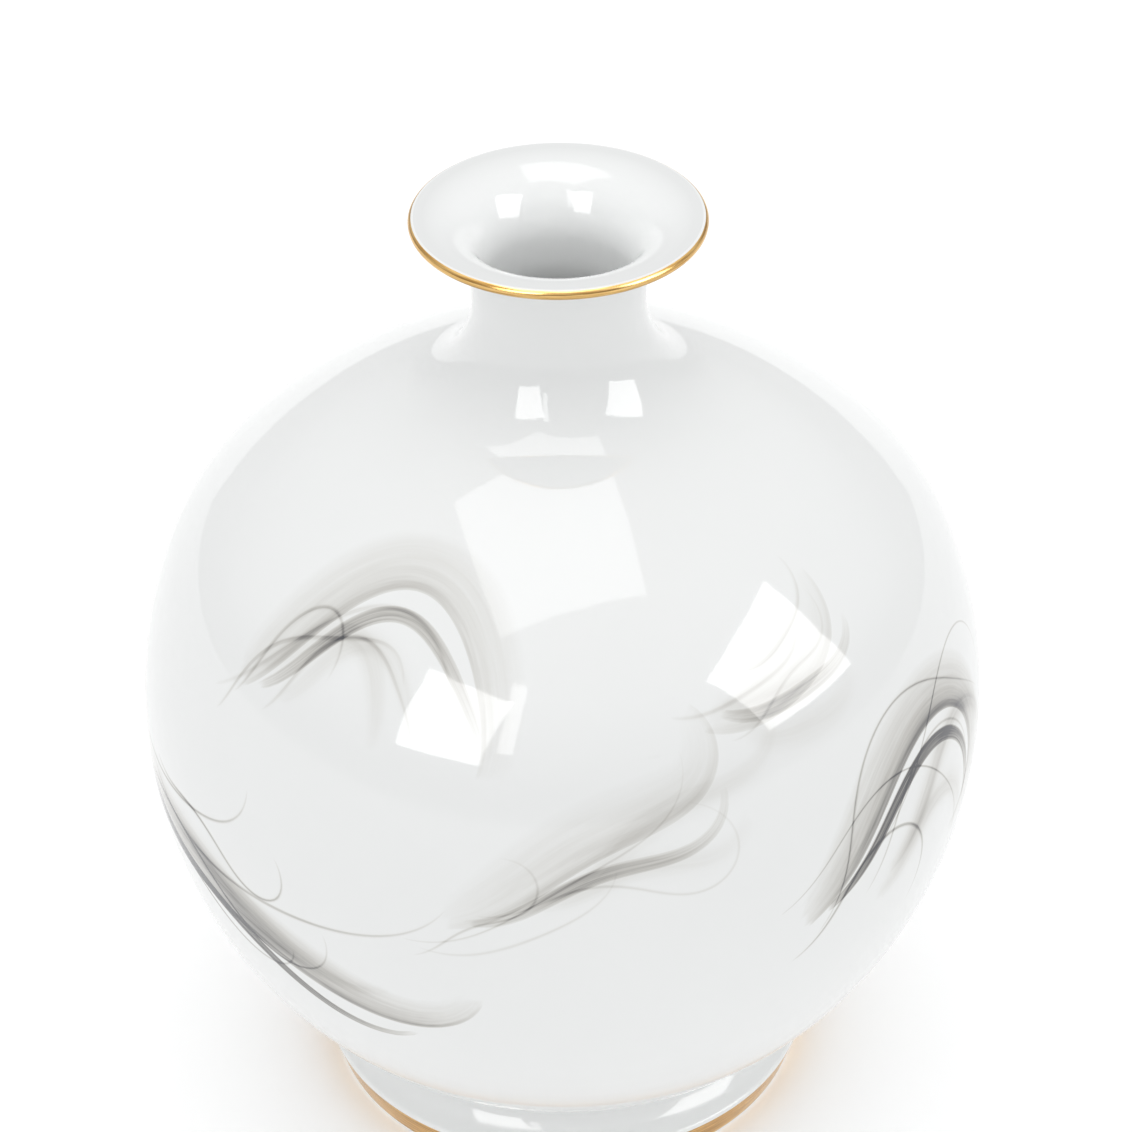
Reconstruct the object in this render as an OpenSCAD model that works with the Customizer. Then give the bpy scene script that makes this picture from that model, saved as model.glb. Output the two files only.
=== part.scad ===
// Round-bodied porcelain bottle vase with a spreading foot, a short neck and a dished mouth.
// It is formed in four sections that are luted together with slip, then glazed, and the
// lip and the foot each carry a band of fired gold.
// Every piece is turned about the Z axis. The vase stands on z = 0.

/* [Body] */
// Greatest outside diameter of the body
body_d = 300; // [250:1:360]
// Height of the body's widest circle above the resting face
belly_z = 160; // [133:1:192]
// Wall of the body sections
body_wall = 4.5; // [3.5:0.1:6]
// Radius of the curve just above the belly
upper_curve_r = 151; // [125:1:182]
// Angle that the curve above the belly turns through
upper_curve_sweep = 22; // [18:0.5:27]
// Radius of the rounder curve at the shoulder
shoulder_r = 80; // [66:1:96]
// Angle that the shoulder curve turns through
shoulder_sweep = 23.5; // [19:0.5:29]
// Slope of the surface where the shoulder turns up into the neck
collar_slope = 21; // [17:0.5:26]
// Thickness of the floor inside the body
floor_t = 6; // [5:0.5:8]

/* [Neck and mouth] */
// Outside diameter of the neck
neck_d = 59; // [49:0.5:71]
// Length of the straight part of the neck
neck_h = 11; // [9:0.5:14]
// Wall of the collar, which is also the thickness of the lip
neck_wall = 3.6; // [3:0.1:4.4]
// Wall of the neck at the throat, where it is thickest
throat_wall = 5; // [4.2:0.1:6]
// Radius of the hollow curve from the shoulder up to the neck
collar_r = 36; // [30:1:44]
// Outside diameter of the lip
mouth_d = 99.5; // [83:0.5:120]
// Radius of the slack curve low in the mouth, where it runs down into the throat
throat_curve_r = 26; // [22:0.5:30]
// Slope from upright at which the mouth's upper curve meets that slack curve
throat_turn = 37; // [31:1:44]
// Width of the flat ledge just inside the lip
ledge_w = 2.6; // [2:0.1:3.2]
// Slope of that ledge
ledge_slope = 4; // [3:0.5:5]

/* [Foot] */
// Greatest diameter of the foot, at the upper edge of its gold band
foot_d = 183.5; // [153:0.5:220]
// Height of the foot, from the resting face to the joint with the body
foot_h = 25; // [20.5:0.5:30]
// How far the foot spreads beyond its joint with the body
foot_flare = 12; // [10:0.5:14.5]
// Angle by which the gold-banded face leans in towards the resting face
foot_lean = 17.5; // [14:0.5:21]
// Thickness of the foot ring
foot_wall = 10; // [8:0.5:12]
// Rounding of the foot's edges
foot_edge_r = 1.5; // [1.2:0.1:1.8]

/* [Joints and gilding] */
// Height of the stepped lap where two sections are luted together
lap_h = 6; // [5:0.5:8]
// Depth of the ring under the body that centres the foot
spigot_h = 4; // [3:0.5:5]
// Thickness of the gilding, let into the porcelain by the same depth
gild_t = 0.3; // [0.25:0.05:0.4]
// Angle above level at which the lip's gold ends, on the mouth side
lip_gild_top = 65; // [54:1:78]
// Angle below level at which the lip's gold ends, on the neck side
lip_gild_bottom = 70; // [58:1:84]

/* [Hidden] */
$fn = 96;
// Furthest that a curve's chords may lie from the true curve
curve_tolerance = 0.02;
foot_top_normal = 15;
foot_skirt_normal = 75;
porcelain = "whitesmoke";
gold = "goldenrod";

// Radii
belly_r = body_d / 2;
neck_r = neck_d / 2;
lip_r = neck_wall / 2;
foot_r = foot_d / 2;
joint_r = foot_r - foot_flare;
spigot_r = joint_r - foot_wall;

// The body's lower curve runs from the foot joint out to the belly
lower_spread = belly_r - joint_r;
lower_rise = belly_z - foot_h;
lower_curve_r = (lower_spread ^ 2 + lower_rise ^ 2) / (2 * lower_spread);
lower_sweep = asin(lower_rise / lower_curve_r);

// The crown closes the distance that the shoulder leaves to the start of the collar
lap_sweep = lap_h / upper_curve_r * 180 / PI;
shoulder_end = upper_curve_sweep + shoulder_sweep;
collar_normal = 90 - collar_slope;
collar_start_r = neck_r + collar_r * (1 - cos(collar_normal));
collar_lap = collar_normal - lap_h / collar_r * 180 / PI;

// The flare opens the neck out to the ledge and the lip
ledge_normal = ledge_slope - 90;
ledge_end_r = mouth_d / 2 - lip_r * (1 - cos(ledge_normal));
ledge_start_r = ledge_end_r - ledge_w * cos(ledge_slope);
flare_r = (ledge_start_r - neck_r) / (1 - cos(ledge_normal));

// The dish's upper curve closes the distance between the ledge and the throat
throat_r = neck_r - throat_wall;
dish_top_r = ledge_start_r - neck_wall * cos(ledge_normal);
throat_curve_spread = throat_curve_r * (1 - cos(throat_turn));
dish_curve_r = (dish_top_r - throat_r - throat_curve_spread) / (cos(throat_turn) - cos(ledge_normal));

// The foot's hollow curve and its leaning face fill the flare and the height
skirt_edge = foot_edge_r * (1 - cos(foot_skirt_normal));
skirt_r = (foot_flare - skirt_edge) / (cos(foot_top_normal) - cos(foot_skirt_normal));
skirt_drop = skirt_r * (sin(foot_skirt_normal) - sin(foot_top_normal));
edge_drop = foot_edge_r * (sin(foot_skirt_normal) + sin(foot_lean));
toe_drop = foot_edge_r * (1 - sin(foot_lean));
face_length = (foot_h - skirt_drop - edge_drop - toe_drop) / cos(foot_lean);

// A station is [point, normal]: a point of the outside and the angle of its outward normal
function dir(a) = [cos(a), sin(a)];
function chords(r, turn) = ceil(turn / (2 * acos(1 - curve_tolerance / r)));
function angles(r, a0, a1) =
    let (n = chords(r, abs(a1 - a0))) [for (i = [0:n]) a0 + (a1 - a0) * i / n];
function bulge(p, r, a0, a1) = [for (a = angles(r, a0, a1)) [p + r * (dir(a) - dir(a0)), a]];
function hollow(p, r, a0, a1) = [for (a = angles(r, a0, a1)) [p - r * (dir(a) - dir(a0)), a]];
function end(s) = s[len(s) - 1][0];
function lip_points(depth, a0, a1) =
    [for (a = angles(lip_r, a0, a1)) lip_centre + (lip_r - depth) * dir(a)];

// Points at a depth under a run of stations, the depth changing evenly from d0 to d1
function under(s, d0, d1) =
    [for (i = [0:len(s) - 1]) s[i][0] - (d0 + (d1 - d0) * i / (len(s) - 1)) * dir(s[i][1])];
function outside(s) = under(s, 0, 0);
function reverse(v) = [for (i = [len(v) - 1:-1:0]) v[i]];

// The body's outside, from the foot joint up to the mouth
lower_curve = bulge([joint_r, foot_h], lower_curve_r, -lower_sweep, 0);
belly_lap = bulge(end(lower_curve), upper_curve_r, 0, lap_sweep);
upper_curve = bulge(end(belly_lap), upper_curve_r, lap_sweep, upper_curve_sweep);
shoulder = bulge(end(upper_curve), shoulder_r, upper_curve_sweep, shoulder_end);
crown_r = (end(shoulder)[0] - collar_start_r) / (cos(shoulder_end) - cos(collar_normal));
crown = bulge(end(shoulder), crown_r, shoulder_end, collar_normal);
neck_lap = hollow(end(crown), collar_r, collar_normal, collar_lap);
collar = hollow(end(neck_lap), collar_r, collar_lap, 0);
flare = hollow(end(collar) + [0, neck_h], flare_r, 0, ledge_normal);
ledge_end = end(flare) + ledge_w * dir(ledge_slope);
lip_centre = ledge_end - lip_r * dir(ledge_normal);

// The mouth's inside, from the ledge down to the throat
dish_top = end(flare) - neck_wall * dir(ledge_normal);
dish = hollow(dish_top, dish_curve_r, ledge_normal, -throat_turn);
throat_curve = hollow(end(dish), throat_curve_r, -throat_turn, 0);

// The foot's outside, from the joint down to the toe
skirt = hollow([joint_r, foot_h], skirt_r, foot_top_normal, foot_skirt_normal);
foot_edge = bulge(end(skirt), foot_edge_r, foot_skirt_normal, -foot_lean);
face_top = end(foot_edge);
face_bottom = face_top - face_length * dir(90 - foot_lean);
toe = bulge(face_bottom, foot_edge_r, -foot_lean, -90);
heel_r = end(toe)[0] - foot_wall;

module turned(points) {
    rotate_extrude()
        polygon(points);
}

// The foot: a hollow-curved skirt, a leaning face and a rounded resting rim
module foot_ring() {
    let_in = gild_t * dir(-foot_lean);
    heel = bulge([heel_r, 0], foot_edge_r, -90, -180);
    color(porcelain)
        turned(concat(
            outside(skirt),
            outside(foot_edge),
            [face_top - let_in, face_bottom - let_in],
            outside(toe),
            outside(heel),
            [[spigot_r, foot_h]]
        ));
}

// The lower bowl, with its floor, the ring that centres the foot and the lap at the belly
module lower_body() {
    floor_z = foot_h + floor_t;
    inside = under(lower_curve, body_wall, body_wall);
    inside_r = lower_curve_r - body_wall;
    floor_r = belly_r - lower_curve_r + sqrt(inside_r ^ 2 - (belly_z - floor_z) ^ 2);
    spigot_inner_r = spigot_r - body_wall;
    color(porcelain)
        turned(concat(
            outside(lower_curve),
            under(belly_lap, body_wall / 2, body_wall / 2),
            reverse(under(belly_lap, body_wall, body_wall)),
            [for (p = reverse(inside)) if (p[1] > floor_z && p[1] < belly_z) p],
            [[floor_r, floor_z], [0, floor_z], [0, foot_h]],
            [[spigot_inner_r, foot_h], [spigot_inner_r, foot_h - spigot_h]],
            [[spigot_r, foot_h - spigot_h], [spigot_r, foot_h]]
        ));
}

// The upper dome, lapped over the lower bowl and carrying the tongue for the neck
module upper_body() {
    color(porcelain)
        turned(concat(
            outside(belly_lap),
            outside(upper_curve),
            outside(shoulder),
            outside(crown),
            under(neck_lap, neck_wall / 2, neck_wall / 2),
            reverse(under(neck_lap, neck_wall, neck_wall)),
            reverse(under(crown, body_wall, neck_wall)),
            reverse(under(shoulder, body_wall, body_wall)),
            reverse(under(upper_curve, body_wall, body_wall)),
            reverse(under(belly_lap, body_wall / 2, body_wall / 2))
        ));
}

// The collar, the straight neck and the dished mouth, with the lip let in for its gold
module neck() {
    color(porcelain)
        turned(concat(
            outside(neck_lap),
            outside(collar),
            outside(flare),
            lip_points(0, ledge_normal, -lip_gild_bottom),
            lip_points(gild_t, -lip_gild_bottom, lip_gild_top),
            lip_points(0, lip_gild_top, 90 + ledge_slope),
            outside(dish),
            outside(throat_curve),
            reverse(under(collar, neck_wall, throat_wall)),
            reverse(under(neck_lap, neck_wall / 2, neck_wall / 2))
        ));
}

// The gold round the lip
module lip_gilding() {
    color(gold)
        turned(concat(
            lip_points(0, -lip_gild_bottom, lip_gild_top),
            lip_points(gild_t, lip_gild_top, -lip_gild_bottom)
        ));
}

// The gold on the foot's leaning face
module foot_gilding() {
    let_in = gild_t * dir(-foot_lean);
    color(gold)
        turned([face_bottom, face_top, face_top - let_in, face_bottom - let_in]);
}

foot_ring();
lower_body();
upper_body();
neck();
lip_gilding();
foot_gilding();
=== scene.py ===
"""Looks for a round porcelain bottle vase: turned porcelain, a smoke print under the glaze, fired gold."""
import math
import random
import bpy
import numpy as np
from mathutils import Matrix, Vector


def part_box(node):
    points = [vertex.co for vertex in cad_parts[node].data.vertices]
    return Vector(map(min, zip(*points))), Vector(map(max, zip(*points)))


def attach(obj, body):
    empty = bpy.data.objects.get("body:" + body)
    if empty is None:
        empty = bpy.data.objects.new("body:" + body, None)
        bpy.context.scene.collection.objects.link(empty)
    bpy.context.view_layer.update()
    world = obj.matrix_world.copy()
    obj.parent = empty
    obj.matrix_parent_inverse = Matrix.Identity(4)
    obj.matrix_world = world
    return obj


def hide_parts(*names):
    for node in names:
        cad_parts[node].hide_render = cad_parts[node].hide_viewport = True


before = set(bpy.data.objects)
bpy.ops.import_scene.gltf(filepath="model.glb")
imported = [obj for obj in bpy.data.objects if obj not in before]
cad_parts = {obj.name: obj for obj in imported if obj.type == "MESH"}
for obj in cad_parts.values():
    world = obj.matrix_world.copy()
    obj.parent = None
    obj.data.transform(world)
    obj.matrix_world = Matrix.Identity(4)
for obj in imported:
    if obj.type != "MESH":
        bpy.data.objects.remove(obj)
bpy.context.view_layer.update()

MM = 0.001
TURN = 2 * math.pi

# ---------------------------------------------------------------- sizes, in metres, and angles in degrees
FOOT_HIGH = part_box("foot_ring")[1]
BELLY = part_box("lower_body")[1]
LIP_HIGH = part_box("lip_gilding")[1]

FOOT_R = FOOT_HIGH.x
FOOT_H = FOOT_HIGH.z
BELLY_R = BELLY.x
LAP_H = 0.006
BELLY_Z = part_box("upper_body")[0].z
MOUTH_R = LIP_HIGH.x

BODY_WALL = 0.0045
FLOOR_T = 0.006
UPPER_CURVE_R = 0.151
UPPER_CURVE_SWEEP = 22
SHOULDER_R = 0.080
SHOULDER_SWEEP = 23.5
SHOULDER_END = UPPER_CURVE_SWEEP + SHOULDER_SWEEP
COLLAR_SLOPE = 21
COLLAR_NORMAL = 90 - COLLAR_SLOPE

NECK_R = 0.0295
NECK_H = 0.011
NECK_WALL = 0.0036
COLLAR_R = 0.036
THROAT_WALL = 0.005
THROAT_CURVE_R = 0.026
THROAT_TURN = 37
LIP_R = NECK_WALL / 2
LEDGE_W = 0.0026
LEDGE_SLOPE = 4

FOOT_FLARE = 0.012
FOOT_LEAN = 17.5
FOOT_WALL = 0.010
FOOT_EDGE_R = 0.0015
FOOT_TOP_NORMAL = 15
FOOT_SKIRT_NORMAL = 75
SPIGOT_H = 0.004

GILD_T = 0.0003
LIP_GILD_TOP = 65
LIP_GILD_BOTTOM = 70

# Distance between neighbouring rings: where the print is, on other shapes, round small edges, and inside
PRINT_PITCH = 0.0020
SHAPE_PITCH = 0.0012
EDGE_PITCH = 0.00025
HIDDEN_PITCH = 0.005
BODY_COLUMNS = 480
NECK_COLUMNS = 320
FOOT_COLUMNS = 360

# Added to a run or taken from it, it turns its normals round
FLIP = (0, 0, math.pi)


# ---------------------------------------------------------------- outlines
# A station is (radius, height, angle of the outward normal in radians). A run is an array of stations.
def heading(a):
    return np.stack([np.cos(a), np.sin(a)], axis=-1)


def arc(start, radius, a0, a1, pitch, side):
    """A run round an arc that starts at a point. Side is 1 where it bulges out and -1 where it is hollow."""
    steps = max(2, math.ceil(math.radians(abs(a1 - a0)) * radius / pitch))
    a = np.radians(np.linspace(a0, a1, steps + 1))
    points = np.array(start) + side * radius * (heading(a) - heading(a[:1]))
    return np.column_stack([points, a])


def bulge(start, radius, a0, a1, pitch=SHAPE_PITCH):
    return arc(start, radius, a0, a1, pitch, 1)


def hollow(start, radius, a0, a1, pitch=SHAPE_PITCH):
    return arc(start, radius, a0, a1, pitch, -1)


def straight(start, end, pitch=SHAPE_PITCH):
    """A run along a line, with its normal to the right of the way it goes."""
    start, end = np.array(start[:2]), np.array(end[:2])
    along = end - start
    steps = max(1, math.ceil(np.hypot(*along) / pitch))
    points = start + np.linspace(0, 1, steps + 1)[:, None] * along
    normal = math.atan2(-along[0], along[1])
    return np.column_stack([points, np.full(steps + 1, normal)])


def under(run, depth0, depth1):
    """The run's inner side, walked the other way: the wall's depth goes evenly from depth0 to depth1."""
    depth = np.linspace(depth0, depth1, len(run))[:, None]
    points = run[:, :2] - depth * heading(run[:, 2])
    return np.column_stack([points, run[:, 2] + math.pi])[::-1]


def end(run):
    return run[-1, :2]


def start(run):
    return run[0, :2]


def run_length(run):
    return np.hypot(*np.diff(run[:, :2], axis=0).T).sum()


def thinned(run):
    """The same run with fewer rings, about the hidden pitch apart, for surfaces that hardly show."""
    count = max(2, math.ceil(run_length(run) / HIDDEN_PITCH) + 1)
    return run[np.unique(np.linspace(0, len(run) - 1, count).round().astype(int))]


# The body, from the foot joint up to the neck
JOINT_R = FOOT_R - FOOT_FLARE
SPIGOT_R = JOINT_R - FOOT_WALL
SPREAD = BELLY_R - JOINT_R
RISE = BELLY_Z - FOOT_H
LOWER_CURVE_R = (SPREAD ** 2 + RISE ** 2) / (2 * SPREAD)
LOWER_SWEEP = math.degrees(math.asin(RISE / LOWER_CURVE_R))
LAP_SWEEP = math.degrees(LAP_H / UPPER_CURVE_R)
COLLAR_LAP = COLLAR_NORMAL - math.degrees(LAP_H / COLLAR_R)
COLLAR_START_R = NECK_R + COLLAR_R * (1 - math.cos(math.radians(COLLAR_NORMAL)))

lower_curve = bulge((JOINT_R, FOOT_H), LOWER_CURVE_R, -LOWER_SWEEP, 0, PRINT_PITCH)
belly_lap = bulge(end(lower_curve), UPPER_CURVE_R, 0, LAP_SWEEP, PRINT_PITCH)
upper_curve = bulge(end(belly_lap), UPPER_CURVE_R, LAP_SWEEP, UPPER_CURVE_SWEEP, PRINT_PITCH)
shoulder = bulge(end(upper_curve), SHOULDER_R, UPPER_CURVE_SWEEP, SHOULDER_END, PRINT_PITCH)
CROWN_SPAN = math.cos(math.radians(SHOULDER_END)) - math.cos(math.radians(COLLAR_NORMAL))
CROWN_R = (end(shoulder)[0] - COLLAR_START_R) / CROWN_SPAN
crown = bulge(end(shoulder), CROWN_R, SHOULDER_END, COLLAR_NORMAL, PRINT_PITCH)

# The collar, the neck and the dished mouth
neck_lap = hollow(end(crown), COLLAR_R, COLLAR_NORMAL, COLLAR_LAP)
collar = hollow(end(neck_lap), COLLAR_R, COLLAR_LAP, 0)
neck_top = end(collar) + (0, NECK_H)
neck_side = straight(end(collar), neck_top)
LEDGE_NORMAL = LEDGE_SLOPE - 90
LEDGE_END_R = MOUTH_R - LIP_R * (1 - math.cos(math.radians(LEDGE_NORMAL)))
LEDGE_START_R = LEDGE_END_R - LEDGE_W * math.cos(math.radians(LEDGE_SLOPE))
FLARE_R = (LEDGE_START_R - NECK_R) / (1 - math.cos(math.radians(LEDGE_NORMAL)))
flare = hollow(neck_top, FLARE_R, 0, LEDGE_NORMAL, SHAPE_PITCH / 2)
ledge_end = end(flare) + LEDGE_W * heading(math.radians(LEDGE_SLOPE))
lip_centre = ledge_end - LIP_R * heading(math.radians(LEDGE_NORMAL))

# The mouth's inside, from the ledge down to the throat
dish_top = end(flare) - NECK_WALL * heading(math.radians(LEDGE_NORMAL))
THROAT_CURVE_SPREAD = THROAT_CURVE_R * (1 - math.cos(math.radians(THROAT_TURN)))
DISH_SPAN = math.cos(math.radians(THROAT_TURN)) - math.cos(math.radians(LEDGE_NORMAL))
DISH_R = (dish_top[0] - NECK_R + THROAT_WALL - THROAT_CURVE_SPREAD) / DISH_SPAN
dish = hollow(dish_top, DISH_R, LEDGE_NORMAL, -THROAT_TURN, SHAPE_PITCH / 2)
throat_curve = hollow(end(dish), THROAT_CURVE_R, -THROAT_TURN, 0, SHAPE_PITCH / 2)


def lip(depth, a0, a1):
    """A run round the lip, let in by a depth."""
    first = lip_centre + (LIP_R - depth) * heading(math.radians(a0))
    return bulge(first, LIP_R - depth, a0, a1, EDGE_PITCH)


# The foot, from the toe up to the joint with the body
SKIRT_SPAN = math.cos(math.radians(FOOT_TOP_NORMAL)) - math.cos(math.radians(FOOT_SKIRT_NORMAL))
SKIRT_EDGE = FOOT_EDGE_R * (1 - math.cos(math.radians(FOOT_SKIRT_NORMAL)))
SKIRT_R = (FOOT_FLARE - SKIRT_EDGE) / SKIRT_SPAN
skirt = hollow((JOINT_R, FOOT_H), SKIRT_R, FOOT_TOP_NORMAL, FOOT_SKIRT_NORMAL)[::-1]
foot_edge = bulge(start(skirt), FOOT_EDGE_R, FOOT_SKIRT_NORMAL, -FOOT_LEAN, EDGE_PITCH)[::-1]
TOE_RISE = FOOT_EDGE_R * (1 - math.sin(math.radians(FOOT_LEAN)))
FACE_RUN = (start(foot_edge)[1] - TOE_RISE) * math.tan(math.radians(FOOT_LEAN))
face_top = start(foot_edge)
face_bottom = np.array([face_top[0] - FACE_RUN, TOE_RISE])
toe = bulge(face_bottom, FOOT_EDGE_R, -FOOT_LEAN, -90, EDGE_PITCH)[::-1]
HEEL_R = start(toe)[0] - FOOT_WALL
let_in = GILD_T * heading(math.radians(-FOOT_LEAN))


# ---------------------------------------------------------------- turned meshes
def ring_points(radius, height, columns):
    azimuth = np.arange(columns) * TURN / columns
    return np.column_stack([radius * np.cos(azimuth), radius * np.sin(azimuth), np.full(columns, height)])


# A radius too small to be a ring
ON_AXIS = 1e-9


def turned(name, runs, columns, shown):
    """A solid turned about Z from runs that follow each other with the solid on their left. A run that
    starts on the axis has a pole of its own, so a floor's two faces stay apart.
    Shown is how many of the first runs show: they share most of the bake map, in four strips."""
    vertices, faces, normals, uvs = [], [], [], []
    rings, total = [], 0
    shown_length = sum(run_length(r) for r in runs[:shown])
    hidden_length = sum(run_length(r) for r in runs[shown:])
    azimuths = np.arange(columns + 1) * TURN / columns
    column = np.arange(columns)
    after = (column + 1) % columns
    travelled = 0.0
    for number, run in enumerate(runs):
        if number == shown:
            travelled = 0.0
        for j in range(len(run)):
            joins_last = j == 0 and number > 0 and run[0, 0] > ON_AXIS
            closes = number == len(runs) - 1 and j == len(run) - 1
            if closes:
                ring = rings[0]
            elif joins_last:
                ring = rings[-1]
            elif run[j, 0] <= ON_AXIS:
                vertices.append([[0.0, 0.0, run[j, 1]]])
                ring = np.full(columns, total)
                total += 1
            else:
                vertices.append(ring_points(run[j, 0], run[j, 1], columns))
                ring = total + column
                total += columns
            if not joins_last:
                rings.append(ring)
            if j == 0:
                previous = ring
                continue
            low, high = previous, ring
            step = np.hypot(*(run[j, :2] - run[j - 1, :2]))
            span = (travelled, travelled + step)
            travelled += step
            quad = np.column_stack([low[column], low[after], high[after], high[column]])
            slopes = run[[j - 1, j - 1, j, j], 2]
            turns = np.column_stack([azimuths[:-1], azimuths[1:], azimuths[1:], azimuths[:-1]])
            around = np.stack([np.cos(turns), np.sin(turns)], axis=-1) * np.cos(slopes)[None, :, None]
            upward = np.broadcast_to(np.sin(slopes)[None, :, None], (columns, 4, 1))
            normal = np.concatenate([around, upward], axis=-1)
            uv = strip_uv(turns, span, shown_length if number < shown else hidden_length, number < shown)
            if len(set(low)) == 1:
                keep = [0, 2, 3]
            elif len(set(high)) == 1:
                keep = [0, 1, 2]
            else:
                keep = [0, 1, 2, 3]
            faces.extend(quad[:, keep].tolist())
            normals.append(normal[:, keep].reshape(-1, 3))
            uvs.append(uv[:, keep].reshape(-1, 2))
            previous = ring
    mesh = bpy.data.meshes.new(name)
    mesh.from_pydata(np.concatenate(vertices).tolist(), [], faces)
    layer = mesh.uv_layers.new(name="OFBake")
    layer.data.foreach_set("uv", np.concatenate(uvs).astype(np.float32).ravel())
    mesh.polygons.foreach_set("use_smooth", np.ones(len(faces), bool))
    mesh.normals_split_custom_set(np.concatenate(normals).tolist())
    mesh.update()
    piece = bpy.data.objects.new(name, mesh)
    bpy.context.scene.collection.objects.link(piece)
    return piece


# Bare margin round a strip of the bake map, and the share of its height for what is hidden
MAP_GAP = 0.006
HIDDEN_SHARE = 0.12
# Slack for rounding where a face starts at a quarter turn
ROUNDING = 1e-9


def strip_uv(turns, span, length, is_shown):
    """Shown runs fill two rows of two quarter turns each. Hidden runs share one low strip."""
    share = np.array([span[0], span[0], span[1], span[1]]) / length
    if not is_shown:
        u = MAP_GAP + turns / TURN * (1 - 2 * MAP_GAP)
        v = MAP_GAP + share * (HIDDEN_SHARE - 2 * MAP_GAP)
        return np.stack([u, np.broadcast_to(v, u.shape)], axis=-1)
    quarter = np.floor(turns[:, :1] / TURN * 4 + ROUNDING)
    within = turns / TURN * 4 - quarter
    cell_w = 1 / 2
    cell_h = (1 - HIDDEN_SHARE) / 2
    u = (quarter % 2) * cell_w + MAP_GAP + within * (cell_w - 2 * MAP_GAP)
    v = HIDDEN_SHARE + (quarter // 2) * cell_h + MAP_GAP + share[None, :] * (cell_h - 2 * MAP_GAP)
    return np.stack([u, v], axis=-1)


def make_foot():
    heel = bulge((HEEL_R, 0), FOOT_EDGE_R, -90, -180, EDGE_PITCH)[::-1]
    runs = [
        toe,
        straight(end(toe), face_bottom - let_in),
        straight(face_bottom - let_in, face_top - let_in),
        straight(face_top - let_in, face_top),
        foot_edge,
        skirt,
        straight(end(skirt), (SPIGOT_R, FOOT_H), HIDDEN_PITCH),
        straight((SPIGOT_R, FOOT_H), start(heel), HIDDEN_PITCH),
        heel,
        straight(end(heel), start(toe), HIDDEN_PITCH),
    ]
    return turned("foot", runs, FOOT_COLUMNS, shown=6)


def make_lower_body():
    floor_z = FOOT_H + FLOOR_T
    inside = thinned(under(lower_curve, BODY_WALL, BODY_WALL))
    inside = inside[inside[:, 1] > floor_z + MM]
    inside_r = LOWER_CURVE_R - BODY_WALL
    floor_r = BELLY_R - LOWER_CURVE_R + math.sqrt(inside_r ** 2 - (BELLY_Z - floor_z) ** 2)
    floor_normal = math.atan2(-(BELLY_Z - floor_z), floor_r - (BELLY_R - LOWER_CURVE_R)) + math.pi
    inside = np.vstack([inside, [[floor_r, floor_z, floor_normal]]])
    lap_face = thinned(under(belly_lap, BODY_WALL / 2, BODY_WALL / 2)[::-1] - FLIP)
    lap_inside = thinned(under(belly_lap, BODY_WALL, BODY_WALL))
    spigot_inner_r = SPIGOT_R - BODY_WALL
    low = FOOT_H - SPIGOT_H
    runs = [
        lower_curve,
        straight(end(lower_curve), start(lap_face)),
        lap_face,
        straight(end(lap_face), start(lap_inside)),
        lap_inside,
        inside,
        straight((floor_r, floor_z), (0, floor_z), HIDDEN_PITCH),
        straight((0, FOOT_H), (spigot_inner_r, FOOT_H), HIDDEN_PITCH),
        straight((spigot_inner_r, FOOT_H), (spigot_inner_r, low), HIDDEN_PITCH),
        straight((spigot_inner_r, low), (SPIGOT_R, low), HIDDEN_PITCH),
        straight((SPIGOT_R, low), (SPIGOT_R, FOOT_H), HIDDEN_PITCH),
        straight((SPIGOT_R, FOOT_H), start(lower_curve), HIDDEN_PITCH),
    ]
    return turned("lower_bowl", runs, BODY_COLUMNS, shown=1)


def make_upper_body():
    tongue = thinned(under(neck_lap, NECK_WALL / 2, NECK_WALL / 2)[::-1] - FLIP)
    neck_inside = thinned(under(neck_lap, NECK_WALL, NECK_WALL))
    lap_face = thinned(under(belly_lap, BODY_WALL / 2, BODY_WALL / 2))
    curve_inside = thinned(under(upper_curve, BODY_WALL, BODY_WALL))
    runs = [
        belly_lap,
        upper_curve,
        shoulder,
        crown,
        straight(end(crown), start(tongue)),
        tongue,
        straight(end(tongue), start(neck_inside)),
        neck_inside,
        thinned(under(crown, BODY_WALL, NECK_WALL)),
        thinned(under(shoulder, BODY_WALL, BODY_WALL)),
        curve_inside,
        straight(end(curve_inside), start(lap_face)),
        lap_face,
        straight(end(lap_face), start(belly_lap)),
    ]
    return turned("upper_dome", runs, BODY_COLUMNS, shown=4)


def make_neck():
    lip_out = lip(0, LEDGE_NORMAL, -LIP_GILD_BOTTOM)
    lip_let_in = lip(GILD_T, -LIP_GILD_BOTTOM, LIP_GILD_TOP)
    lip_top = lip(0, LIP_GILD_TOP, 90 + LEDGE_SLOPE)
    lap_face = thinned(under(neck_lap, NECK_WALL / 2, NECK_WALL / 2))
    bore = under(collar, NECK_WALL, THROAT_WALL)
    runs = [
        neck_lap,
        collar,
        neck_side,
        flare,
        straight(end(flare), ledge_end),
        lip_out,
        straight(end(lip_out), start(lip_let_in)),
        lip_let_in,
        straight(end(lip_let_in), start(lip_top)),
        lip_top,
        straight(end(lip_top), start(dish)),
        dish + FLIP,
        throat_curve + FLIP,
        straight(end(throat_curve), start(bore)),
        bore,
        straight(end(bore), start(lap_face)),
        lap_face,
        straight(end(lap_face), start(neck_lap)),
    ]
    return turned("neck_and_mouth", runs, NECK_COLUMNS, shown=15)


def make_lip_gold():
    outer = lip(0, -LIP_GILD_BOTTOM, LIP_GILD_TOP)
    inner = lip(GILD_T, -LIP_GILD_BOTTOM, LIP_GILD_TOP)[::-1] + FLIP
    runs = [
        outer,
        straight(end(outer), start(inner)),
        inner,
        straight(end(inner), start(outer)),
    ]
    return turned("lip_gold_band", runs, NECK_COLUMNS, shown=1)


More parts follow.
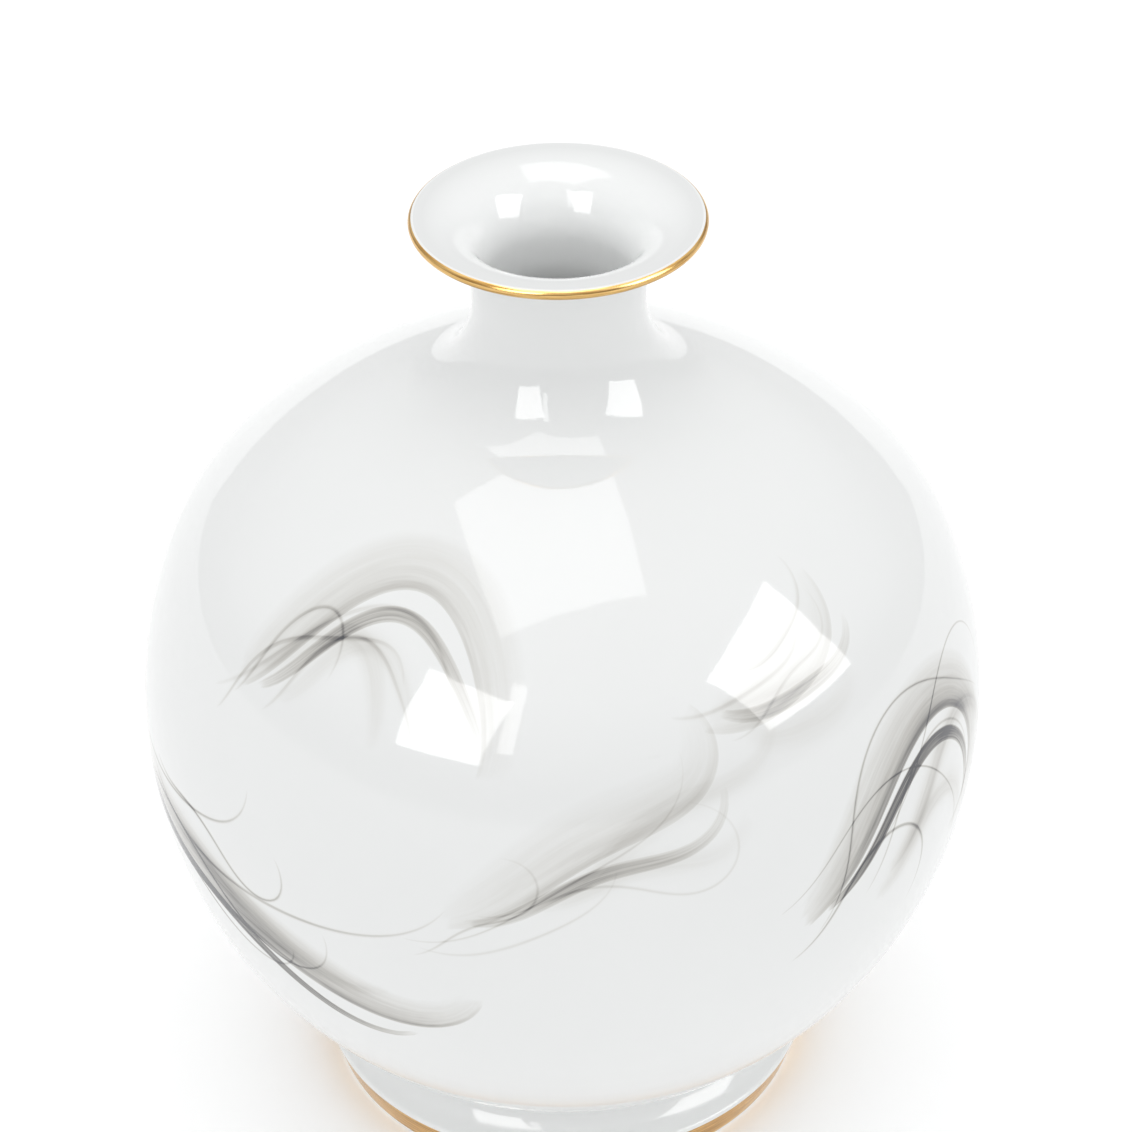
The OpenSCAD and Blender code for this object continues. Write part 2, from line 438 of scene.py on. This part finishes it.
def make_foot_gold():
    runs = [
        straight(face_bottom, face_top),
        straight(face_top, face_top - let_in),
        straight(face_top - let_in, face_bottom - let_in),
        straight(face_bottom - let_in, face_bottom),
    ]
    return turned("foot_gold_band", runs, FOOT_COLUMNS, shown=1)


# ---------------------------------------------------------------- the smoke print
# A generic drift of smoke. Each wisp's path comes from how its heading turns as it goes: it sways, and
# towards its far end it curls. Azimuth 0 faces the front and grows to the right.
WISP_POINTS = 60
VEILS = 2
EDGE_HALF_WIDTH = 11 * MM
STRAND_HALF_WIDTH = 3 * MM
# Share of its width that a wisp keeps at its tips, and the powers that shape its swell and its curl
TIP_WIDTH = 0.35
SWELL_LEAN = 0.8
SWELL_ROUND = 0.6
CURL_POWER = 3
KINDS = ("soft", "edge", "band")
print_outline = np.vstack([lower_curve, belly_lap[1:], upper_curve[1:], shoulder[1:], crown[1:]])


def body_radius(height):
    return np.interp(height, print_outline[:, 1], print_outline[:, 0])


def wisp(kind, azimuth, height, heading_angle, length, sway, waves, curl, half_width, dark):
    """A wisp as its kind and rows of azimuth, height, half width and darkness. Angles are in degrees."""
    t = np.linspace(0, 1, WISP_POINTS)
    turn = np.radians(heading_angle + sway * np.sin(TURN * waves * t) + curl * t ** CURL_POWER)
    step = length / (WISP_POINTS - 1)
    rise = height + np.cumsum(np.sin(turn)) * step
    swing = math.radians(azimuth) + np.cumsum(np.cos(turn) * step / body_radius(rise))
    swell = np.sin(math.pi * t ** SWELL_LEAN) ** SWELL_ROUND
    half = half_width * (TIP_WIDTH + (1 - TIP_WIDTH) * swell)
    return kind, np.column_stack([swing, rise, half, dark * swell])


def plume(seed, azimuth, height, heading_angle, length, curl, dark, threads):
    """A translucent veil with a firm edge, a darker strand inside it, and thin threads that stray from it."""
    dice = random.Random(seed)
    sway = dice.uniform(20, 34)
    waves = dice.uniform(0.7, 1.1)
    edge = wisp(
        kind="edge",
        azimuth=azimuth,
        height=height,
        heading_angle=heading_angle,
        length=length,
        sway=sway,
        waves=waves,
        curl=curl,
        half_width=EDGE_HALF_WIDTH,
        dark=0.75 * dark,
    )
    strand = wisp(
        kind="band",
        azimuth=azimuth + 3,
        height=height + 4 * MM,
        heading_angle=heading_angle - 4,
        length=0.8 * length,
        sway=sway,
        waves=waves,
        curl=0.7 * curl,
        half_width=STRAND_HALF_WIDTH,
        dark=dark,
    )
    wisps = [edge, strand]
    for _ in range(VEILS):
        wisps.append(wisp(
            kind="soft",
            azimuth=azimuth + dice.uniform(0, 16),
            height=height + dice.uniform(-6, 16) * MM,
            heading_angle=heading_angle + dice.uniform(-14, 14),
            length=length * dice.uniform(0.5, 0.8),
            sway=sway,
            waves=waves,
            curl=curl * dice.uniform(0.5, 0.9),
            half_width=dice.uniform(9, 14) * MM,
            dark=dark * dice.uniform(0.22, 0.34),
        ))
    for _ in range(threads):
        wisps.append(wisp(
            kind="soft",
            azimuth=azimuth + dice.uniform(-6, 12),
            height=height + dice.uniform(-14, 18) * MM,
            heading_angle=heading_angle + dice.uniform(-22, 22),
            length=length * dice.uniform(0.45, 1.0),
            sway=sway * dice.uniform(0.6, 1.4),
            waves=waves * dice.uniform(0.7, 1.4),
            curl=curl * dice.uniform(0.5, 1.1),
            half_width=dice.uniform(0.9, 2.2) * MM,
            dark=dark * dice.uniform(0.35, 0.6),
        ))
    return wisps


# Seed, azimuth, height, heading, length, curl, darkness and number of threads
PLUMES = [
    (3, -80, 0.152, -34, 0.190, 118, 1.00, 5),
    (8, -52, 0.222, 34, 0.120, -150, 0.46, 4),
    (5, -16, 0.168, 6, 0.130, 140, 0.36, 4),
    (4, 20, 0.232, -20, 0.080, 150, 0.30, 3),
    (11, 32, 0.150, 24, 0.160, -165, 0.95, 5),
    (2, 92, 0.205, -8, 0.130, -140, 0.50, 4),
    (14, 124, 0.142, 20, 0.180, 120, 0.95, 5),
    (6, 176, 0.214, -20, 0.120, 150, 0.45, 4),
    (9, 214, 0.160, 24, 0.160, -130, 0.80, 5),
]
WISPS = [w for row in PLUMES for w in plume(*row)]

# How far past its side a wisp's darkness starts to go out, is gone, and stops being written at all
FADE_FROM = 2.5 * MM
FADE_TO = 4.0 * MM
REACH = 7.0 * MM


def wisp_fields(kind, points, place):
    """For the vertices near a wisp: their indices, its length and side there, and how dark it is."""
    azimuth, height, half, dark = points.T
    radius = body_radius(height)
    lean = np.interp(height, print_outline[:, 1], print_outline[:, 2])
    spine = np.column_stack([radius * np.sin(azimuth), -radius * np.cos(azimuth), height])
    outward = np.column_stack([np.sin(azimuth) * np.cos(lean), -np.cos(azimuth) * np.cos(lean), np.sin(lean)])
    along = np.gradient(spine, axis=0)
    length = np.concatenate([[0], np.cumsum(np.linalg.norm(np.diff(spine, axis=0), axis=1))])
    along /= np.linalg.norm(along, axis=1)[:, None]
    right = np.cross(along, outward)
    shift = half if kind == "edge" else 0 * half
    far = REACH + 2 * half.max()
    near = np.flatnonzero(((place > spine.min(0) - far) & (place < spine.max(0) + far)).all(1))
    if not len(near):
        return near, None, None
    offset = place[near, None] - spine[None]
    nearest = (offset ** 2).sum(2).argmin(1)
    offset = offset[np.arange(len(near)), nearest]
    side = (offset * right[nearest]).sum(1)
    onward = (offset * along[nearest]).sum(1)
    middle = np.abs(side + shift[nearest]) - half[nearest]
    past_end = np.where((nearest == 0) | (nearest == len(spine) - 1), np.abs(onward), 0)
    away = np.maximum(middle, past_end)
    keep = away < REACH
    near, nearest, side, onward, away = (x[keep] for x in (near, nearest, side, onward, away))
    across = (side + shift[nearest]) / half[nearest]
    shade = dark[nearest] * np.clip((FADE_TO - away) / (FADE_TO - FADE_FROM), 0, 1)
    return near, np.column_stack([length[nearest] + onward, across]), shade


def write_print(meshes):
    """Spreads the wisps over as few layers as keep neighbours apart, and stores each layer on the meshes.
    A layer is a vector of length along and side across, and one of how dark each kind is."""
    sizes = [len(m.vertices) for m in meshes]
    place = np.concatenate([coordinates(m) for m in meshes])
    radius = np.hypot(place[:, 0], place[:, 1])
    outside = radius > np.interp(place[:, 2], print_outline[:, 1], print_outline[:, 0]) - BODY_WALL / 4
    outside &= place[:, 2] > FOOT_H - MM
    printed = np.flatnonzero(outside)
    layers = []
    for number, (kind, points) in enumerate(WISPS):
        near, line, shade = wisp_fields(kind, points, place[printed])
        if not len(near):
            continue
        near = printed[near]
        for taken, lines, shades in layers:
            if not taken[near].any():
                break
        else:
            taken = np.zeros(len(place), bool)
            lines, shades = np.zeros((len(place), 3)), np.zeros((len(place), 3))
            layers.append((taken, lines, shades))
        taken[near] = True
        lines[near, :2] = line
        lines[near, 2] = number
        shades[near, KINDS.index(kind)] = shade
    for number, (_, lines, shades) in enumerate(layers):
        first = 0
        for mesh, size in zip(meshes, sizes):
            for label, values in (("line", lines), ("shade", shades)):
                store = mesh.attributes.new(f"wisp_{label}_{number}", "FLOAT_VECTOR", "POINT")
                store.data.foreach_set("vector", values[first:first + size].astype(np.float32).ravel())
            first += size
    return len(layers)


def coordinates(mesh):
    flat = np.empty(len(mesh.vertices) * 3, np.float32)
    mesh.vertices.foreach_get("co", flat)
    return flat.reshape(-1, 3).astype(float)


# ---------------------------------------------------------------- materials
def new_material(name):
    material = bpy.data.materials.new(name)
    material.use_nodes = True
    tree = material.node_tree
    return material, tree, tree.nodes["Principled BSDF"]


def noise(tree, scale, detail, rough, vector):
    node = tree.nodes.new("ShaderNodeTexNoise")
    node.inputs["Scale"].default_value = scale
    node.inputs["Detail"].default_value = detail
    node.inputs["Roughness"].default_value = rough
    tree.links.new(vector, node.inputs["Vector"])
    return node.outputs["Fac"]


def object_position(tree):
    return tree.nodes.new("ShaderNodeTexCoord").outputs["Object"]


GLAZE_COLOUR = (0.832, 0.840, 0.834, 1)
NECK_TONE = 1.0
# Painted light and shade inside the mouth: a painted light tone down in the throat and a painted shade tone
# at the rim, spread over these radii
PAINTED_THROAT_LIGHT = 1.15
PAINTED_RIM_SHADE = 0.88
PAINTED_LIGHT_SPAN = (0.029, 0.045)
# Painted light on the foot's glaze, brightening the skirt that the belly shades
PAINTED_FOOT_LIGHT = 1.12
INK_STOPS = [
    (0.0, (1, 1, 1)),
    (0.15, (0.87, 0.86, 0.84)),
    (0.40, (0.62, 0.60, 0.57)),
    (0.70, (0.27, 0.26, 0.25)),
    (1.0, (0.085, 0.085, 0.095)),
]
SOFT_PROFILE = [(0, 0), (0.2, 0.12), (0.35, 0.6), (0.5, 1), (0.65, 0.6), (0.8, 0.12), (1, 0)]
EDGE_PROFILE = [(0, 0), (0.25, 0.25), (0.6, 0.5), (0.82, 0.68), (0.93, 1), (0.975, 0.75), (1, 0)]
BAND_PROFILE = [(0, 0), (0.1, 0.65), (0.2, 0.95), (0.5, 0.88), (0.8, 0.95), (0.9, 0.65), (1, 0)]
STREAK_LENGTH = 0.045
STREAKS_ACROSS = 3.8
# How far apart two wisps lie in the noise, and how strongly the noise streaks them
WISP_SPACING = 7.3
STREAK_GAIN = 1.6
STREAK_BASE = 0.2


def math_node(tree, operation, *values, clamp=False):
    node = tree.nodes.new("ShaderNodeMath")
    node.operation = operation
    node.use_clamp = clamp
    for socket, value in zip(node.inputs, values):
        if isinstance(value, (int, float)):
            socket.default_value = value
        else:
            tree.links.new(value, socket)
    return node.outputs[0]


def vector_node(tree, operation, a, b):
    node = tree.nodes.new("ShaderNodeVectorMath")
    node.operation = operation
    for socket, value in zip(node.inputs, (a, b)):
        if isinstance(value, tuple):
            socket.default_value = value
        else:
            tree.links.new(value, socket)
    return node.outputs["Value"] if operation == "DOT_PRODUCT" else node.outputs["Vector"]


def attribute(tree, name):
    node = tree.nodes.new("ShaderNodeAttribute")
    node.attribute_name = name
    return node.outputs["Vector"]


def profiles(tree, across):
    """The three kinds of wisp, from their left side to their right, as one vector."""
    node = tree.nodes.new("ShaderNodeRGBCurve")
    for curve, points in zip(node.mapping.curves, (SOFT_PROFILE, EDGE_PROFILE, BAND_PROFILE)):
        curve.points[0].location = points[0]
        curve.points[1].location = points[-1]
        for point in points[1:-1]:
            curve.points.new(*point)
    node.mapping.update()
    tree.links.new(across, node.inputs["Color"])
    return node.outputs["Color"]


def smoke_density(tree, layers):
    total = None
    for number in range(layers):
        line = attribute(tree, f"wisp_line_{number}")
        split = tree.nodes.new("ShaderNodeSeparateXYZ")
        tree.links.new(line, split.inputs[0])
        across = math_node(tree, "MULTIPLY_ADD", split.outputs["Y"], 0.5, 0.5, clamp=True)
        shade = attribute(tree, f"wisp_shade_{number}")
        kinds = vector_node(tree, "DOT_PRODUCT", profiles(tree, across), shade)
        stretched = vector_node(tree, "MULTIPLY", line, (1 / STREAK_LENGTH, STREAKS_ACROSS, WISP_SPACING))
        streak = noise(tree, 1.0, 3, 0.6, stretched)
        strength = math_node(tree, "MULTIPLY_ADD", streak, STREAK_GAIN, STREAK_BASE)
        smoke = math_node(tree, "MULTIPLY", kinds, strength)
        total = smoke if total is None else math_node(tree, "ADD", total, smoke)
    return total


def coloured(tree, value, stops):
    """A value's colour on a ramp of positions and colours."""
    node = tree.nodes.new("ShaderNodeValToRGB")
    elements = node.color_ramp.elements
    for index in (0, -1):
        position, colour = stops[index]
        elements[index].position = position
        elements[index].color = (*colour, 1)
    for position, colour in stops[1:-1]:
        elements.new(position).color = (*colour, 1)
    tree.links.new(value, node.inputs["Fac"])
    return node.outputs["Color"]


def inked(tree, density):
    return vector_node(tree, "MULTIPLY", coloured(tree, density, INK_STOPS), GLAZE_COLOUR[:3])


def bumped(tree, shader, height, strength, distance):
    node = tree.nodes.new("ShaderNodeBump")
    node.inputs["Strength"].default_value = strength
    node.inputs["Distance"].default_value = distance
    tree.links.new(height, node.inputs["Height"])
    tree.links.new(node.outputs["Normal"], shader.inputs["Normal"])


def ranged(tree, value, low, high, span=(0.0, 1.0)):
    """A value across a span, spread evenly between a low and a high one."""
    node = tree.nodes.new("ShaderNodeMapRange")
    node.inputs["From Min"].default_value = span[0]
    node.inputs["From Max"].default_value = span[1]
    node.inputs["To Min"].default_value = low
    node.inputs["To Max"].default_value = high
    tree.links.new(value, node.inputs["Value"])
    return node.outputs["Result"]


# Cells of glaze per metre, how rare a speck is, its size in a cell and its tone
SPECK_CELLS = 45
SPECK_RARITY = 0.86
SPECK_SIZE = 0.014
SPECK_TONE = 0.62
# Noise drawn out into rings that go round the axis
RING_STRETCH = (6, 6, 420)
BODY_RINGS = 0.10
NECK_RINGS = 0.45
# Tone that drifts over the glaze, roughness that varies over it, and the ripple in it
DRIFT_SCALE = 9
DRIFT_LOW = 0.975
DRIFT_HIGH = 1.025
GLOSS_SCALE = 22
GLOSS = (0.03, 0.075)
RIPPLE_SCALE = 45
RIPPLE_STRENGTH = 0.4
RIPPLE_DEPTH = 0.14 * MM
GLAZE_IOR = 1.5


def specks(tree, place):
    """1 on clean glaze and darker on a few pinpoint iron specks, one in a few of the cells."""
    cells = tree.nodes.new("ShaderNodeTexVoronoi")
    cells.inputs["Scale"].default_value = SPECK_CELLS
    tree.links.new(place, cells.inputs["Vector"])
    split = tree.nodes.new("ShaderNodeSeparateColor")
    tree.links.new(cells.outputs["Color"], split.inputs["Color"])
    chosen = math_node(tree, "GREATER_THAN", split.outputs["Red"], SPECK_RARITY)
    close = math_node(tree, "LESS_THAN", cells.outputs["Distance"], SPECK_SIZE)
    found = math_node(tree, "MULTIPLY", chosen, close)
    return ranged(tree, found, 1.0, SPECK_TONE)


def painted_mouth_light(tree, place):
    """The neck's tone outside, and inside the mouth painted shade at the rim that goes over to painted light
    down in the throat.
    """
    normal = tree.nodes.new("ShaderNodeTexCoord").outputs["Normal"]
    flat = vector_node(tree, "MULTIPLY", place, (1.0, 1.0, 0.0))
    inside = math_node(tree, "LESS_THAN", vector_node(tree, "DOT_PRODUCT", flat, normal), 0.0)
    reach = tree.nodes.new("ShaderNodeVectorMath")
    reach.operation = "LENGTH"
    tree.links.new(flat, reach.inputs[0])
    # Painted light down in the throat, going over to painted shade at the rim
    depth = ranged(tree, reach.outputs["Value"], PAINTED_THROAT_LIGHT - NECK_TONE, PAINTED_RIM_SHADE - NECK_TONE, PAINTED_LIGHT_SPAN)
    return math_node(tree, "MULTIPLY_ADD", depth, inside, NECK_TONE)


def glaze(name, layers=0, rings=BODY_RINGS, painted_light_gain=1.0, painted_light_inside=False):
    """Clear glaze on white porcelain: a ripple, faint turning rings, tone that drifts, and a few specks.
    Painted light inside paints the mouth's inside: painted shade at the rim, painted light down the throat.
    Painted light gain brightens the whole glaze with painted light."""
    material, tree, shader = new_material(name)
    place = object_position(tree)
    # The gain brightens the whole glaze with painted light
    drift = ranged(tree, noise(tree, DRIFT_SCALE, 3, 0.5, place), DRIFT_LOW * painted_light_gain, DRIFT_HIGH * painted_light_gain)
    tone = math_node(tree, "MULTIPLY", drift, specks(tree, place))
    # Painted shade at the mouth's rim inside and painted light down its throat
    if painted_light_inside:
        tone = math_node(tree, "MULTIPLY", tone, painted_mouth_light(tree, place))
    shade = tree.nodes.new("ShaderNodeVectorMath")
    shade.operation = "SCALE"
    tree.links.new(tone, shade.inputs["Scale"])
    if layers:
        tree.links.new(inked(tree, smoke_density(tree, layers)), shade.inputs[0])
    else:
        shade.inputs[0].default_value = GLAZE_COLOUR[:3]
    tree.links.new(shade.outputs["Vector"], shader.inputs["Base Color"])
    gloss = ranged(tree, noise(tree, GLOSS_SCALE, 3, 0.6, place), *GLOSS)
    tree.links.new(gloss, shader.inputs["Roughness"])
    shader.inputs["IOR"].default_value = GLAZE_IOR
    turned_rings = noise(tree, 1, 2, 0.5, vector_node(tree, "MULTIPLY", place, RING_STRETCH))
    uneven = noise(tree, RIPPLE_SCALE, 2, 0.5, place)
    ripple = math_node(tree, "MULTIPLY_ADD", turned_rings, rings, uneven)
    bumped(tree, shader, ripple, RIPPLE_STRENGTH, RIPPLE_DEPTH)
    return material


GOLD_STOPS = [
    (0.35, (0.46, 0.25, 0.07)),
    (0.60, (0.80, 0.53, 0.21)),
]
BRUSH_STRETCH = (60, 60, 2200)
BRUSH_STRENGTH = 0.5
BRUSH_DEPTH = 0.06 * MM
GOLD_PATCH_SCALE = 70
GOLD_GLOSS = (0.08, 0.30)


def gold(name):
    """Fired gold laid on with a brush: its strokes run round, and it is thinner and redder in places."""
    material, tree, shader = new_material(name)
    place = object_position(tree)
    strokes = noise(tree, 1, 3, 0.6, vector_node(tree, "MULTIPLY", place, BRUSH_STRETCH))
    tree.links.new(coloured(tree, strokes, GOLD_STOPS), shader.inputs["Base Color"])
    shader.inputs["Metallic"].default_value = 1.0
    gloss = ranged(tree, noise(tree, GOLD_PATCH_SCALE, 3, 0.6, place), *GOLD_GLOSS)
    tree.links.new(gloss, shader.inputs["Roughness"])
    bumped(tree, shader, strokes, BRUSH_STRENGTH, BRUSH_DEPTH)
    return material


pieces = {
    "foot_ring": (make_foot(), "foot_porcelain"),
    "lower_body": (make_lower_body(), "body_porcelain"),
    "upper_body": (make_upper_body(), "body_porcelain"),
    "neck": (make_neck(), "neck_porcelain"),
    "lip_gilding": (make_lip_gold(), "lip_gold"),
    "foot_gilding": (make_foot_gold(), "foot_gold"),
}
layer_count = write_print([pieces["lower_body"][0].data, pieces["upper_body"][0].data])
printed_glaze = glaze("printed_glaze", layer_count)
# The foot's glaze is brightened with painted light where the belly shades it
foot_glaze_painted_light = glaze("foot_glaze_painted_light", painted_light_gain=PAINTED_FOOT_LIGHT)
# The neck's glaze carries painted shade at the rim inside and painted light down the throat
neck_glaze_painted_light = glaze("neck_glaze_painted_light", rings=NECK_RINGS, painted_light_inside=True)
finishes = {
    "foot_ring": foot_glaze_painted_light,
    "lower_body": printed_glaze,
    "upper_body": printed_glaze,
    "neck": neck_glaze_painted_light,
    "lip_gilding": gold("lip_gold"),
    "foot_gilding": gold("foot_gold"),
}
for node, (piece, slot) in pieces.items():
    piece.data.materials.append(finishes[node])
    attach(piece, "root")
    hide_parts(node)


# ---------------------------------------------------------------- camera, floor and light
def aimed(obj, place, target, roll=0.0):
    place, target = Vector(place), Vector(target)
    turn = (target - place).to_track_quat("-Z", "Y").to_matrix().to_4x4()
    obj.matrix_world = Matrix.Translation(place) @ turn @ Matrix.Rotation(math.radians(roll), 4, "Z")


CAMERA_PITCH = 35.62
CAMERA_PLACE = (0.0016, -1.0322, 0.9499)
CAMERA_ROLL = -0.48
SENSOR = 36
LENS = 114.5
camera_data = bpy.data.cameras.new("camera")
camera_data.sensor_width = SENSOR
camera_data.lens = LENS
camera = bpy.data.objects.new("camera", camera_data)
bpy.context.scene.collection.objects.link(camera)
down = math.radians(CAMERA_PITCH)
ahead = (CAMERA_PLACE[0], CAMERA_PLACE[1] + math.cos(down), CAMERA_PLACE[2] - math.sin(down))
aimed(camera, CAMERA_PLACE, ahead, CAMERA_ROLL)
bpy.context.scene.camera = camera

LIGHT_TARGET = (0, 0, 0.25)
# Watts that give a square metre of area light a radiance of one
UNIT_WATTS = 4


def softbox(name, azimuth, elevation, distance, width, height, radiance, roll=0.0):
    """A rectangular light, azimuth from the front towards the right, aimed at the body. It shows as a
    reflection and leaves the soft overall light to the sky and floor."""
    data = bpy.data.lights.new(name, "AREA")
    data.shape = "RECTANGLE"
    data.size = width
    data.size_y = height
    data.energy = radiance * width * height * UNIT_WATTS
    light = bpy.data.objects.new(name, data)
    bpy.context.scene.collection.objects.link(light)
    a, e = math.radians(azimuth), math.radians(elevation)
    place = (
        LIGHT_TARGET[0] + distance * math.sin(a) * math.cos(e),
        LIGHT_TARGET[1] - distance * math.cos(a) * math.cos(e),
        LIGHT_TARGET[2] + distance * math.sin(e),
    )
    aimed(light, place, LIGHT_TARGET, roll)
    light.visible_diffuse = False


# Name, azimuth, elevation, distance, width, height, radiance and roll
softbox("right_window", 70, 30, 1.5, 0.80, 0.85, 4.2)
softbox("left_window", -33, 33, 1.5, 0.60, 0.85, 4.2)
softbox("left_strip", -15.5, 38, 1.5, 0.10, 0.75, 2.6)
softbox("top_panel", -29, 85, 1.2, 0.80, 0.80, 1.6, 45)

FLOOR_R = 6.0
FLOOR_SIDES = 64
FLOOR_COLOUR = (0.92, 0.92, 0.92, 1)
FLOOR_GLOW = 0.12
FLOOR_ROUGHNESS = 0.9
floor_mesh = bpy.data.meshes.new("floor")
floor_ring = ring_points(FLOOR_R, 0.0, FLOOR_SIDES)
floor_mesh.from_pydata(floor_ring.tolist(), [], [list(range(FLOOR_SIDES))])
floor = bpy.data.objects.new("floor", floor_mesh)
bpy.context.scene.collection.objects.link(floor)
floor_material, _, floor_shader = new_material("floor")
floor_shader.inputs["Base Color"].default_value = FLOOR_COLOUR
floor_shader.inputs["Roughness"].default_value = FLOOR_ROUGHNESS
floor_shader.inputs["Specular IOR Level"].default_value = 0.0
floor_shader.inputs["Emission Color"].default_value = (1, 1, 1, 1)
floor_shader.inputs["Emission Strength"].default_value = FLOOR_GLOW
floor_mesh.materials.append(floor_material)

# The sky's colour from the horizon up to overhead, and its strength from the camera's side to the far one
SKY_STOPS = [
    (0.0, (0.43, 0.43, 0.43)),
    (0.16, (0.38, 0.38, 0.385)),
    (0.50, (0.66, 0.665, 0.67)),
    (1.0, (1.0, 1.0, 1.0)),
]
SKY_STRENGTH = (1.30, 1.45)
SKY_SPAN = (-0.95, -0.25)
world = bpy.data.worlds.new("studio")
world.use_nodes = True
sky = world.node_tree
split = sky.nodes.new("ShaderNodeSeparateXYZ")
sky.links.new(sky.nodes.new("ShaderNodeTexCoord").outputs["Generated"], split.inputs["Vector"])
background = sky.nodes["Background"]
sky.links.new(coloured(sky, split.outputs["Z"], SKY_STOPS), background.inputs["Color"])
sky.links.new(ranged(sky, split.outputs["Y"], *SKY_STRENGTH, SKY_SPAN), background.inputs["Strength"])
bpy.context.scene.world = world
bpy.context.scene.view_settings.view_transform = "Standard"
